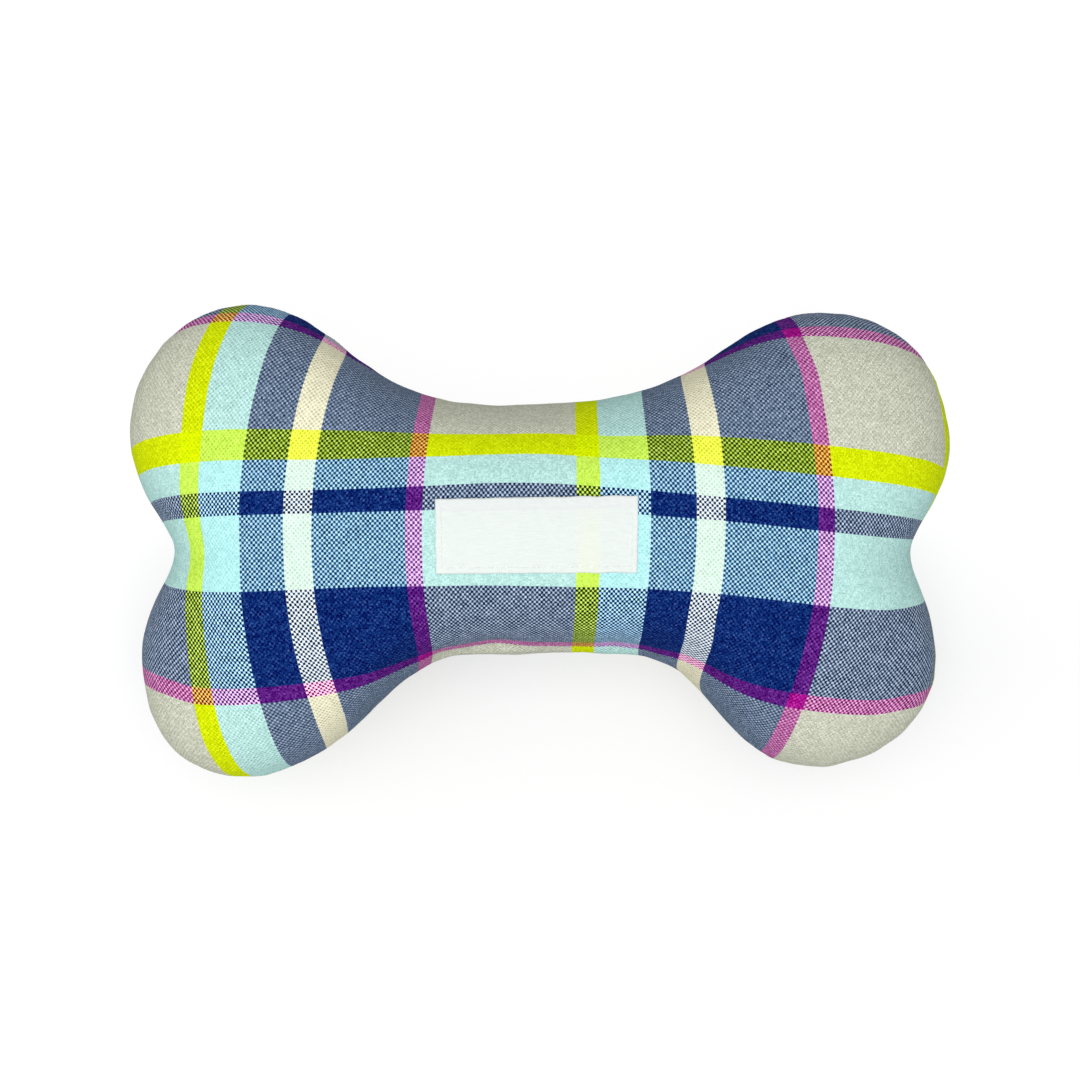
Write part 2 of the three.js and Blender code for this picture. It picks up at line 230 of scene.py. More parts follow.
SKY_LIGHT = 0.52
world = bpy.data.worlds.new("studio")
bpy.context.scene.world = world
sky = Finish("studio", world)
strength = sky.seen() * (1 - SKY_LIGHT) + SKY_LIGHT
background = sky.node("ShaderNodeBackground", {}, {"Color": (1, 1, 1, 1), "Strength": strength})
sky.node("ShaderNodeOutputWorld", {}, {"Surface": background})

LAMPS = [
    ("top_lamp", (0.0, 0.0, 1.0), 0.70, 2.9),
    ("front_lamp", (0.0, -0.40, 0.90), 0.60, 2.0),
    ("left_lamp", (-0.50, 0.0, 0.80), 0.60, 1.0),
]
for name, place, size, power in LAMPS:
    lamp_data = bpy.data.lights.new(name, "AREA")
    lamp_data.size = size
    lamp_data.energy = power
    lamp = placed(name, lamp_data)
    lamp.location = place
    lamp.rotation_euler = (Vector((0, 0, seam_z)) - lamp.location).to_track_quat("-Z", "Y").to_euler()

FLOOR_HALF = 3.0
floor_mesh = bpy.data.meshes.new("floor")
floor_corners = [(x * FLOOR_HALF, y * FLOOR_HALF, 0) for x, y in ((-1, -1), (1, -1), (1, 1), (-1, 1))]
floor_mesh.from_pydata(floor_corners, [], [(0, 1, 2, 3)])
floor = placed("floor", floor_mesh)
floor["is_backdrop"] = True

SWEEP_BOUNCE = (0.35, 0.35, 0.35, 1)
SWEEP_NEAR, SWEEP_FAR = (0.60, 0.60, 0.60, 1), (0.10, 0.10, 0.10, 1)
LIFT_NEAR, LIFT_FAR = 0.42, 0.93

# Where the sweep turns from near to far, in metres from the toy's middle. The far sweep glows to the camera:
# painted light over the toy's shadow. The shade under the toy stays near: it is narrow at the shaft, wide at
# the knobs and short at the clefts between them.
BLEND_FROM, BLEND_OVER = -0.035, 0.04
KNOB_FROM, KNOB_OVER = 0.035, 0.030
CLEFT_FROM, CLEFT_OVER = 0.010, 0.015
SHAFT_HALF, KNOB_MORE = 0.026, 0.036
CLEFT_HALF, END_MORE = 0.098, 0.014
SHADE_FADE, KNOB_FADE = 0.008, 0.012
PAPER_FROM, PAPER_OVER = 0.17, 0.25
sweep = Finish("white_sweep")
shown = sweep.seen()
spot = sweep.node("ShaderNodeTexCoord", {}, {}, "Object")
aside, away = abs(spot.axis(0)), spot.axis(1)
at_knob = ((aside - KNOB_FROM) / KNOB_OVER).clamped()
off_cleft = ((abs(away) - CLEFT_FROM) / CLEFT_OVER).clamped()
in_depth = (at_knob * KNOB_MORE + SHAFT_HALF - abs(away)) / (at_knob * KNOB_FADE + SHADE_FADE)
in_length = (off_cleft * END_MORE + CLEFT_HALF - aside) / (off_cleft * KNOB_FADE + SHADE_FADE)
under_toy = in_depth.clamped() * in_length.clamped()
beyond = ((away - BLEND_FROM) / BLEND_OVER).clamped() * (1 - under_toy)
from_toy = sweep.node("ShaderNodeVectorMath", {"operation": "LENGTH"}, {0: spot}, "Value")
shadow_painted_out = beyond.maths("MAXIMUM", beyond, ((from_toy - PAPER_FROM) / PAPER_OVER).clamped())
card = sweep.mix(shown, SWEEP_BOUNCE, sweep.mix(shadow_painted_out, SWEEP_NEAR, SWEEP_FAR))
matt = sweep.node("ShaderNodeBsdfDiffuse", {}, {"Color": card})
# Painted light: the camera-only glow is stronger where the toy's shadow is painted out.
lift = shown * (LIFT_NEAR + shadow_painted_out * (LIFT_FAR - LIFT_NEAR))
glow = sweep.node("ShaderNodeEmission", {}, {"Color": (1, 1, 1, 1), "Strength": lift})
dress(floor_mesh, sweep.show(sweep.node("ShaderNodeAddShader", {}, {0: matt, 1: glow})))
bpy.context.scene.view_settings.view_transform = "Standard"


# The sewn cover
# A front and a back panel of brushed plaid cotton, cut to one bone-shaped pattern wider than the filled bone,
# sewn face to face with 6 mm allowances, turned and stuffed. The flat cloth is blown up as the stuffing does
# it, laid to the frame's panels and eased smooth.
MM = 0.001
GRID = 4 * MM
NEAR_RIM = 0.75
MERGE = 0.01 * MM
CUT_INSIDE, CUT_NEAR = 1, 1e-9
TINY = 1e-12
PANEL_PEEK = 0.05 * MM
SIDEWAYS = 0.01
CURVE_STEPS = 6
KNOB_EASE = 11.5 * MM
WAIST_EASE = 22.5 * MM
WAIST_REACH = 48 * MM
NOTCH_EASE = 21 * MM
NOTCH_REACH = 15 * MM
NOTCH_START = 0.72
PATTERN_ROUNDS = 12
BLOW_UP = 10
BLOW_FRAMES = 35
EASE_PASSES = 120
EASE_STRIDE = 3
EDGE_SPAN = 3
SLACK_SHARE = 0.3
SHEAR_SHARE = 0.15
CROWDED = 0.45
FINE_LEVELS = 2
CLOTH_THICKNESS = 0.6 * MM
ALLOWANCE = 6 * MM
SEAM_GAP = 0.3 * MM
SEAM_GROOVE = 0.9 * MM
GROOVE_REACH = 1.6 * MM
GATHER_DEPTH = 0.45 * MM
GATHER_PITCH = 6 * MM
GATHER_REACH = 6 * MM
SIDE_SWELL = 1.0 * MM
SWELL_REACH = 16 * MM
RIPPLE_DEPTH = 1.6 * MM
RIPPLE_PITCH = 16 * MM
RIPPLE_REACH = 12 * MM
CLOSING_BELL = (0, 34 * MM, 4)
LUMP_DEPTH = 0.5 * MM
LUMP_PITCH = 22 * MM
GATHER_SEED, RIPPLE_SEED, LUMP_SEED = 3.7, 8.2, 1.4

# Where the cover and its threads are drawn aside. A rise is its start and the length that it takes. A bell is
# its middle, half its width and, where it isn't 2, its power.
NOTCH_BELL = (-2 * MM, 11 * MM)
NOTCH_RISE = (55 * MM, 40 * MM)
NOTCH_DRAW = 2.0 * MM
WAIST_BELL = (0, 60 * MM, 4)
WAIST_DRAW = 1.2 * MM
TOP_BELL = (0, 70 * MM, 6)
TOP_DRAW = 0.9 * MM
SIDE_RISE = (0, 34 * MM)
BULGE_PLACE = (101 * MM, -45 * MM)
BULGE_WIDTH = 14 * MM
BULGE_PUSH = (0.9 * MM, -0.6 * MM, 0)
CORNER_PLACE = (37 * MM, -36 * MM)
CORNER_WIDTH = 10 * MM
CORNER_PUSH = (-0.3 * MM, 0.9 * MM, 0)
LIP_DEEP = 0.9 * MM
LIP_DENTS = [(0.9 * MM, (-11 * MM, 6 * MM)), (0.5 * MM, (19 * MM, 3.5 * MM))]
LIP_RISE = (7 * MM, 5 * MM)
LIP_FALL = (12 * MM, 13 * MM)
LIP_END_RISE = (-32 * MM, 7 * MM)
LIP_SIDE_RISE = (0, 14 * MM)
KNOB_MIDDLE = 65 * MM
GRAIN_BOW = 2.6 * MM
BOW_BELL = (0, 23.5 * MM)
BOW_REST = 0.35
GRAIN_TILT = 0.9 * MM
TILT_RISE = (-30 * MM, 60 * MM)
END_DRAW = 1.5 * MM
END_RISE = (72 * MM, 18 * MM)
GRAIN_DROP = 5.0 * MM
DROP_FAN = 150 * MM
DROP_RISE = (-20 * MM, 138 * MM)
GRAIN_ARCH = 2.9 * MM
ARCH_BELL = (0, 34 * MM)
ARCH_RISE = (-10 * MM, 40 * MM)
LEFT_RISE = (76 * MM, 14 * MM)
GRAIN_SWAY = 1.1 * MM
SWAY_REACH = 22 * MM
GRAIN_SPREAD = 0.7 * MM
SPREAD_RISE = (18 * MM, 32 * MM)
NOTCH_EASING = 4.2 * MM
NOTCH_EASING_RISE = (60 * MM, 40 * MM)
TOP_EASING = 1.1 * MM
TOP_RISE_UP, TOP_RISE_ALONG = (40 * MM, 12 * MM), (48 * MM, 8 * MM)
FOOT_EASING = 1.2 * MM
FOOT_BELL, FOOT_RISE = (46 * MM, 13 * MM), (18 * MM, 14 * MM)
EDGE_EASING = 0.8 * MM
EDGE_RISE = (92 * MM, 12 * MM)
GRAIN_LIFT = 0.75 * MM
LIFT_BELL, LIFT_RISE = (20 * MM, 60 * MM, 4), (2 * MM, 20 * MM)
HEM_DROP = 0.9 * MM
HEM_DROP_BELL = (-18 * MM, 66 * MM, 6)
HEM_WAIST = 1.4 * MM
HEM_WAIST_BELL = (0, 45 * MM, 6)
HEM_ENDS = 1.2 * MM
HEM_ENDS_RISE = (86 * MM, 12 * MM)
HEM_SIDE_RISE = (8 * MM, 20 * MM)
BACK_SHIFT = (31 * MM, -17 * MM)
COVER_BAKE_MARGIN = 0.01


def boundary(mesh):
    """The vertices round the open edge of a mesh, in order."""
    loop = list(next(edge for edge in mesh.edges if edge.is_boundary).verts)
    while loop[-1] is not loop[0]:
        ahead = [e.other_vert(loop[-1]) for e in loop[-1].link_edges if e.is_boundary]
        loop.append(next(vertex for vertex in ahead if vertex is not loop[-2]))
    return loop[:-1]


def turns_left(loop):
    """Whether a closed loop runs anticlockwise."""
    x, y = loop[:, 0], loop[:, 1]
    return (x * np.roll(y, -1) - np.roll(x, -1) * y).sum() > 0


def panel_skin(node, way):
    """The outer faces of one of the frame's panels, made smooth, and their rim."""
    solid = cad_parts[node].data
    whole = BVHTree.FromPolygons([v.co for v in solid.vertices], [tuple(f.vertices) for f in solid.polygons])
    mesh = bmesh.new()
    mesh.from_mesh(solid)
    bmesh.ops.remove_doubles(mesh, verts=mesh.verts[:], dist=MERGE)
    hidden = []
    for face in mesh.faces:
        start = face.calc_center_median() + face.normal * PANEL_PEEK
        if whole.ray_cast(start, Vector((0, 0, way)))[0] is not None or face.normal.z * way < SIDEWAYS:
            hidden.append(face)
    bmesh.ops.delete(mesh, geom=hidden, context="FACES")
    bmesh.ops.join_triangles(mesh, faces=mesh.faces[:], angle_face_threshold=0.5, angle_shape_threshold=2.0)
    rim = np.array([vertex.co[:2] for vertex in boundary(mesh)])
    skin = placed("skin", bpy.data.meshes.new("skin"))
    mesh.to_mesh(skin.data)
    mesh.free()
    rounded = skin.modifiers.new("rounded", "SUBSURF")
    rounded.levels = 2
    mesh = bmesh.new()
    mesh.from_object(skin, bpy.context.evaluated_depsgraph_get())
    tree = BVHTree.FromBMesh(mesh)
    mesh.free()
    bpy.data.objects.remove(skin)
    return tree, even_loop(curve_through(rim if turns_left(rim) else rim[::-1]), GRID)


def curve_through(points):
    """A smooth closed curve through points."""
    before, after, beyond = np.roll(points, 1, 0), np.roll(points, -1, 0), np.roll(points, -2, 0)
    curve = []
    for t in np.arange(CURVE_STEPS) / CURVE_STEPS:
        bend = (2 * before - 5 * points + 4 * after - beyond) * t**2
        twist = (-before + 3 * points - 3 * after + beyond) * t**3
        curve.append((2 * points + (after - before) * t + bend + twist) / 2)
    return np.stack(curve, 1).reshape(-1, 2)


def even_loop(points, step):
    """Points at an even step along a closed loop."""
    closed = np.vstack([points, points[:1]])
    along = np.r_[0, np.cumsum(np.linalg.norm(np.diff(closed, axis=0), axis=1))]
    places = np.linspace(0, along[-1], round(along[-1] / step), endpoint=False)
    return np.column_stack([np.interp(places, along, closed[:, axis]) for axis in (0, 1)])


def outward(loop):
    """The directions straight out of a closed loop, one for each point."""
    along = np.roll(loop, -EDGE_SPAN, 0) - np.roll(loop, EDGE_SPAN, 0)
    return np.column_stack([along[:, 1], -along[:, 0]]) / np.linalg.norm(along[:, :2], axis=1)[:, None]


def rise(value, start, over):
    """A smooth climb from 0 at the start to 1 past it."""
    share = np.clip((value - start) / over, 0, 1)
    return share * share * (3 - 2 * share)


def bell(value, middle, half, power=2):
    """1 in the middle, less to both sides. A higher power gives a flatter top and steeper sides."""
    return np.exp(-(((value - middle) / half) ** power))


def paper_pattern(outline):
    """The stitching line of the flat panel: the seam moved out by what the swelling takes up."""
    half_length = np.abs(outline[:, 0]).max()
    x, y = outline[:, 0], outline[:, 1]
    waist = 1 / (1 + (x / WAIST_REACH) ** 4)
    at_end = np.clip((np.abs(x) / half_length - NOTCH_START) / (1 - NOTCH_START) * 2, 0, 1)
    notch = bell(y, 0, NOTCH_REACH) * at_end
    ease = KNOB_EASE + (WAIST_EASE - KNOB_EASE) * waist + (NOTCH_EASE - KNOB_EASE) * notch
    loop = outline + outward(outline) * ease[:, None]
    for _ in range(PATTERN_ROUNDS):
        loop = (np.roll(loop, 1, 0) + 2 * loop + np.roll(loop, -1, 0)) / 4
    return even_loop(loop, GRID)


def inside(points, loop):
    """Which points lie inside a closed loop."""
    x, y = points[:, :1], points[:, 1:]
    x1, y1 = loop.T
    x2, y2 = np.roll(loop, -1, 0).T
    crossed = ((y1 > y) != (y2 > y)) & (x < (x2 - x1) * (y - y1) / (y2 - y1 + TINY) + x1)
    return crossed.sum(1) % 2 == 1


def pattern_mesh(loop):
    """The flat panel as squares along the threads, with triangles only along its edge."""
    low = np.floor(loop.min(0) / GRID).astype(int)
    size = np.ceil(loop.max(0) / GRID).astype(int) - low + 1
    cells = np.stack(np.meshgrid(*map(np.arange, size), indexing="ij"), -1).reshape(-1, 2)
    grid = (cells + low) * GRID
    apart = np.linalg.norm(grid[:, None] - loop[None], axis=2).min(1)
    kept = inside(grid, loop) & (apart > NEAR_RIM * GRID)
    count = len(loop)
    number = {tuple(cell): count + i for i, cell in enumerate(cells[kept].tolist())}
    squares = {}
    for i, j in number:
        ring = [number.get(cell) for cell in ((i, j), (i + 1, j), (i + 1, j + 1), (i, j + 1))]
        if None not in ring:
            squares[i, j] = tuple(ring)
    edges = {tuple(sorted(pair)) for ring in squares.values() for pair in zip(ring, ring[1:] + ring[:1])}
    edges |= {(i, (i + 1) % count) for i in range(count)}
    flat = np.vstack([loop, grid[kept]])
    points, rings = [Vector(point) for point in flat], [tuple(range(count))]
    made = delaunay_2d_cdt(points, list(edges), rings, CUT_INSIDE, CUT_NEAR)
    faces = list(squares.values())
    for face in made[2]:
        middle = np.floor(flat[list(face)].mean(0) / GRID).astype(int) - low
        if tuple(middle.tolist()) not in squares:
            faces.append(tuple(face))
    return flat, faces, count


def spots_of(mesh):
    """Where a mesh's vertices are, one row each."""
    return np.array([vertex.co[:] for vertex in mesh.vertices])


def blown_cover(flat, faces, rim):
    """Front and back, joined at the seam, blown up by pressure from flat. Returns both sides' points."""
    count = len(flat)
    twin = [i if i < rim else i + count - rim for i in range(count)]
    lift = np.where(np.arange(count) < rim, 0, MM)
    front = np.column_stack([flat, lift])
    back = np.column_stack([flat, -lift])[rim:]
    both = [*faces, *[tuple(twin[i] for i in face)[::-1] for face in faces]]
    mesh = bpy.data.meshes.new("blown")
    mesh.from_pydata((np.vstack([front, back]) * BLOW_UP).tolist(), [], both)
    cover = placed("blown", mesh)
    cloth = cover.modifiers.new("cloth", "CLOTH")
    yarn = cloth.settings
    yarn.quality = 8
    yarn.mass = 0.3
    yarn.tension_stiffness = 40
    yarn.compression_stiffness = 2
    yarn.shear_stiffness = 2
    yarn.bending_stiffness = 2
    yarn.tension_damping = 5
    yarn.compression_damping = 5
    yarn.shear_damping = 5
    yarn.air_damping = 5
    yarn.use_pressure = True
    yarn.uniform_pressure_force = 5
    yarn.effector_weights.gravity = 0
    cloth.collision_settings.use_collision = False
    cloth.point_cache.frame_end = BLOW_FRAMES + 1
    for step in range(1, BLOW_FRAMES + 1):
        bpy.context.scene.frame_set(step)
    shaped = cover.evaluated_get(bpy.context.evaluated_depsgraph_get()).to_mesh()
    points = spots_of(shaped) / BLOW_UP
    bpy.data.objects.remove(cover)
    bpy.context.scene.frame_set(1)
    return points[:count], points[twin]


def nearest_on_loop(points, loop):
    """The nearest points of a closed flat loop."""
    ahead = np.roll(loop, -1, 0) - loop
    share = ((points[:, None] - loop) * ahead).sum(2) / (ahead**2).sum(1)
    feet = loop + np.clip(share, 0, 1)[..., None] * ahead
    best = np.linalg.norm(feet - points[:, None], axis=2).argmin(1)
    return feet[np.arange(len(points)), best]


def thread_links(flat, faces):
    """Neighbours along the threads and across the squares, with their flat distance and stiffness."""
    sides = {tuple(sorted(pair)) for face in faces for pair in zip(face, face[1:] + face[:1])}
    across = {pair for face in faces if len(face) == 4 for pair in (face[::2], face[1::2])}
    links = np.array([*sides, *across])
    lengths = np.linalg.norm(flat[links[:, 0]] - flat[links[:, 1]], axis=1)
    return links, lengths, np.r_[np.full(len(sides), 1.0), np.full(len(across), SHEAR_SHARE)]


def laid_on(skin, loop, points, rim, links, lengths, stiff):
    """The cloth slid over a panel's skin until its threads are as little stretched as they can be."""
    points = points.copy()
    shares = np.bincount(links.ravel(), minlength=len(points))[:, None]
    for _ in range(EASE_PASSES):
        span = points[links[:, 1]] - points[links[:, 0]]
        now = np.linalg.norm(span, axis=1)
        pull = np.where(now > lengths, 1.0, SLACK_SHARE) * stiff * (1 - lengths / now) / 2
        step = np.zeros_like(points)
        np.add.at(step, links[:, 0], span * pull[:, None])
        np.add.at(step, links[:, 1], -span * pull[:, None])
        points += step * EASE_STRIDE / shares
        sides = np.roll(points[:rim], -1, 0), np.roll(points[:rim], 1, 0)
        room = np.minimum(*(np.linalg.norm(side - points[:rim], axis=1) for side in sides))
        crowded = room < CROWDED * GRID
        points[:rim][crowded] = ((sides[0] + sides[1]) / 2)[crowded]
        points[:rim, :2] = nearest_on_loop(points[:rim, :2], loop)
        points[:rim, 2] = seam_z
        points[rim:] = [skin.find_nearest(point)[0] for point in points[rim:].tolist()]
    return points


def lay_map(mesh, name, places):
    """A UV map that gives each vertex one flat place."""
    corner = [loop.vertex_index for loop in mesh.loops]
    made = mesh.uv_layers.new(name=name)
    made.data.foreach_set("uv", np.asarray(places, np.float32)[corner].ravel())


def spread_out(places, margin):
    """Flat places scaled to fill a picture, but for a margin."""
    low, high = places.min(0), places.max(0)
    return margin + (1 - 2 * margin) * (places - low) / (high - low)


def cloth_panel(points, way):
    """A panel's laid points as a fine smooth mesh, with its points, their flat places and its rim."""
    coarse = bpy.data.meshes.new("coarse")
    coarse.from_pydata(points.tolist(), [], faces if way > 0 else [face[::-1] for face in faces])
    lay_map(coarse, "flat", flat / MM)
    panel = placed("coarse", coarse)
    finer = panel.modifiers.new("finer", "SUBSURF")
    finer.levels = FINE_LEVELS
    fine = bpy.data.meshes.new_from_object(panel.evaluated_get(bpy.context.evaluated_depsgraph_get()))
    bpy.data.objects.remove(panel)
    spots = spots_of(fine)
    corner = np.array([loop.vertex_index for loop in fine.loops])
    values = np.zeros(len(corner) * 2, np.float32)
    fine.uv_layers[0].data.foreach_get("uv", values)
    laid = np.zeros((len(spots), 2))
    laid[corner] = values.reshape(-1, 2) * MM
    mesh = bmesh.new()
    mesh.from_mesh(fine)
    edge = [vertex.index for vertex in boundary(mesh)]
    mesh.free()
    return fine, spots, laid, np.array(edge if turns_left(laid[edge]) else edge[::-1])


def wander(places, pitch, seed):
    """Smooth random heights, -1 to 1, that change over about one pitch."""
    return np.array([noise.noise(Vector((x / pitch, y / pitch, seed))) for x, y in places])


def puckered(fine, spots, laid, edge, way):
    """The panel with its drawn-in seam, the gathers along it and the unevenness of the stuffing."""
    fine.vertices.foreach_set("co", spots.astype(np.float32).ravel())
    fine.update()
    out = np.array([normal.vector[:] for normal in fine.vertex_normals])
    feet = nearest_on_loop(laid, laid[edge])
    apart = np.linalg.norm(feet - laid, axis=1)
    groove = -SEAM_GROOVE * bell(apart, 0, GROOVE_REACH)
    gathers = GATHER_DEPTH * wander(feet, GATHER_PITCH, GATHER_SEED) * np.exp(-apart / GATHER_REACH)
    closing = bell(feet[:, 0], *CLOSING_BELL) * (feet[:, 1] < 0)
    ripple = RIPPLE_DEPTH * wander(feet * (1, 0), RIPPLE_PITCH, RIPPLE_SEED)
    ripple = ripple * bell(apart, 0, RIPPLE_REACH) * closing
    lumps = LUMP_DEPTH * wander(laid, LUMP_PITCH, LUMP_SEED + way) * np.clip(apart / LUMP_PITCH, 0, 1)
    swell = SIDE_SWELL * (1 - bell(apart, 0, GROOVE_REACH)) * bell(apart, 0, SWELL_REACH)
    return spots + out * (groove + gathers + ripple + lumps + swell)[:, None]


def round_bell(x, y, place, half):
    """A bell in both directions round a place."""
    return np.exp(-((x - place[0]) ** 2 + (y - place[1]) ** 2) / half**2)[:, None]


def drawn_in(spots):
    """Places moved to where the filled cover narrows more than the frame, and where it fills out."""
    x, y, z = spots.T
    notch = bell(y, *NOTCH_BELL) * rise(np.abs(x), *NOTCH_RISE)
    waist = WAIST_DRAW * bell(x, *WAIST_BELL) * rise(-y, *SIDE_RISE)
    waist -= TOP_DRAW * bell(x, *TOP_BELL) * rise(y, *SIDE_RISE)
    deep = LIP_DEEP + sum(depth * bell(x, *dent) for depth, dent in LIP_DENTS)
    groove = rise(z - seam_z, *LIP_RISE) * (1 - rise(z - seam_z, *LIP_FALL))
    groove = groove * rise(-np.abs(x), *LIP_END_RISE) * rise(-y, *LIP_SIDE_RISE)
    moved = spots.copy()
    moved[:, 0] -= np.sign(x) * NOTCH_DRAW * notch
    moved[:, 1] += waist + deep * groove
    moved = moved + round_bell(x, y, BULGE_PLACE, BULGE_WIDTH) * BULGE_PUSH
    return moved + round_bell(x, y, CORNER_PLACE, CORNER_WIDTH) * CORNER_PUSH


def smooth(mesh):
    """Shades a mesh as one smooth surface."""
    mesh.polygons.foreach_set("use_smooth", [True] * len(mesh.polygons))


def thicken(sheet, thickness):
    """Gives a sheet its thickness, behind the face that it shows."""
    body = sheet.modifiers.new("thickness", "SOLIDIFY")
    body.thickness = thickness
    body.offset = -1


def make_cover(name, node, points, way, grain):
    """One sewn panel with its allowance turned in, as an object with the cloth's thickness."""
    fine, spots, laid, edge = cloth_panel(points, way)
    spots = puckered(fine, spots, laid, edge, way)
    spots[edge, 2] = seam_z + way * SEAM_GAP / 2
    count, around = len(spots), len(edge)
    ring = spots[edge]
    rows, places = [spots], [laid]
    for depth in (ALLOWANCE / 3, ALLOWANCE):
        row = ring.copy()
        row[:, :2] -= outward(ring) * depth
        rows.append(row)
        places.append(laid[edge] + outward(laid[edge]) * depth)
    spots, laid = drawn_in(np.vstack(rows)), np.vstack(places)
    quads = [tuple(face.vertices) for face in fine.polygons]
    for row in (0, 1):
        inner = edge if row == 0 else count + np.arange(around)
        outer = count + around * row + np.arange(around)
        for i in range(around):
            quad = (inner[i], outer[i], outer[(i + 1) % around], inner[(i + 1) % around])
            quads.append(tuple(int(v) for v in (quad if way > 0 else quad[::-1])))
    mesh = bpy.data.meshes.new(name)
    mesh.from_pydata(spots.tolist(), [], quads)
    lay_map(mesh, "pattern", grain(laid) / MM)
    lay_map(mesh, "OFBake", spread_out(laid, COVER_BAKE_MARGIN))
    smooth(mesh)
    cover = placed(name, mesh)
    thicken(cover, CLOTH_THICKNESS)
    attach(cover, "toy")
    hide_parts(node)
    return cover


def front_grain(laid):
    """Where the front panel's threads lie: a little off the pattern, as the cloth was laid and drawn."""
    u, v = laid.T
    side = np.sign(u)
    bow = side * np.minimum(1, (u / KNOB_MIDDLE) ** 2) * (bell(v, *BOW_BELL) - BOW_REST)
    tilt = v / KNOB_MIDDLE * rise(-u, *TILT_RISE)
    ends = side * rise(np.abs(u), *END_RISE)
    at_left = rise(-u, *LEFT_RISE)
    sway = np.sin(v / SWAY_REACH) * at_left
    spread = (2 * rise(np.abs(v), *SPREAD_RISE) - 1) * at_left
    notch = side * bell(v, *NOTCH_BELL) * rise(np.abs(u), *NOTCH_EASING_RISE)
    top = rise(v, *TOP_RISE_UP) * rise(u, *TOP_RISE_ALONG)
    foot = bell(u, *FOOT_BELL) * rise(-v, *FOOT_RISE)
    across = u - GRAIN_BOW * bow - GRAIN_TILT * tilt + END_DRAW * ends + GRAIN_SWAY * sway
    across = across + GRAIN_SPREAD * spread - NOTCH_EASING * notch
    across = across + TOP_EASING * top - FOOT_EASING * foot - EDGE_EASING * rise(u, *EDGE_RISE)
    drop = rise(u, *DROP_RISE) * (1 + v / DROP_FAN)
    arch = bell(u, *ARCH_BELL) * rise(v, *ARCH_RISE)
    lift = bell(u, *LIFT_BELL) * rise(v, *LIFT_RISE)
    hem = HEM_DROP * bell(u, *HEM_DROP_BELL) + HEM_WAIST * bell(u, *HEM_WAIST_BELL)
    hem = (hem - HEM_ENDS * rise(np.abs(u), *HEM_ENDS_RISE)) * rise(-v, *HEM_SIDE_RISE)
    return np.column_stack([across, v + GRAIN_DROP * drop - GRAIN_ARCH * arch - GRAIN_LIFT * lift + hem])


def back_grain(laid):
    """The back panel was cut from another place of the same cloth."""
    return laid * (-1, 1) + BACK_SHIFT


front_skin, outline = panel_skin("front_panel", 1)
back_skin = panel_skin("back_panel", -1)[0]
pattern = paper_pattern(outline)
flat, faces, rim = pattern_mesh(pattern)
blown_front, blown_back = blown_cover(flat, faces, rim)
blown = (blown_front + blown_back * (1, 1, -1)) / 2
links, lengths, stiff = thread_links(flat, faces)
front_points = laid_on(front_skin, outline, blown + (0, 0, seam_z), rim, links, lengths, stiff)
back_points = laid_on(back_skin, outline, blown * (1, 1, -1) + (0, 0, seam_z), rim, links, lengths, stiff)
cover_front = make_cover("cover_front", "front_panel", front_points, 1, front_grain)
cover_back = make_cover("cover_back", "back_panel", back_points, -1, back_grain)

# The cover's plaid is a brushed plain weave of dyed cotton yarns: warp and weft yarns pass over each other in
# turn. Stripes follow the yarns, and where a warp stripe crosses a weft stripe the two show as a checker.
WARP_PITCH = 0.577
WEFT_PITCH = 0.622
NAVY = colour(12, 39, 93)
YELLOW = colour(223, 242, 0)
AQUA = colour(196, 240, 240)
STONE_COVER = 0.3
STONE = (*colour(209, 211, 196)[:3], STONE_COVER)
MAGENTA = colour(140, 16, 119)
CREAM = colour(254, 250, 224)
SCREEN_GAMMA = 2.2
TINT = 1.3
# Painted shade and highlight on the weave: cells with the warp on top lighter, with the weft on top darker.
PAINTED_WEAVE_SHADE = 0.055
PICK_SHADE = 0.09
FIBRE_SHADE = 0.46
MOTTLE_SHADE = 0.09
PALE_GRAIN, DARK_GRAIN = 1.3, 1.6
SHEER = 0.42
PALE_STAND = 0.80
DARK_STAND = 0.84
STAND_POWER = 6
WEAVE_EDGE = 1.75
FIBRE_LEAN, MOTTLE_LEAN = 0.6, 0.7
YARN_WANDER = 0.6
WARP_WAVES, WEFT_WAVES = 0.9, 1.1
MOTTLE_WAVES, FIBRE_WAVES = 0.35, 2.5
YARN_HEIGHT, FIBRE_HEIGHT = 0.7, 0.6
WARP_START = -90.85
WARP_STRIPES = [
    (10, YELLOW), (21, AQUA), (19, NAVY), (12, CREAM), (39, NAVY), (7, MAGENTA), (65, STONE),
]
WEFT_START = -39.1
WEFT_STRIPES = [
    (7, MAGENTA), (37, NAVY), (29, AQUA), (9, NAVY), (12, AQUA), (12, YELLOW), (50, STONE),
]


def stripe_dye(index, stripes, output):
    """The colour of yarn number index in a repeat of stripes of so many yarns each, or how far it covers."""
    ends = np.cumsum([yarns for yarns, _ in stripes])
    total = int(ends[-1])
    stops = [(float(end - yarns) / total, dye) for end, (yarns, dye) in zip(ends, stripes)]
    share = ((index + 0.5) % total) / total
    return cloth.node("ShaderNodeValToRGB", {"stops": stops}, {"Fac": share}, output)


def random_at(first, second):
    """A random value for every pair of whole numbers."""
    corner = cloth.node("ShaderNodeCombineXYZ", {}, {0: first, 1: second})
    return cloth.node("ShaderNodeTexWhiteNoise", {"noise_dimensions": "3D"}, {"Vector": corner})


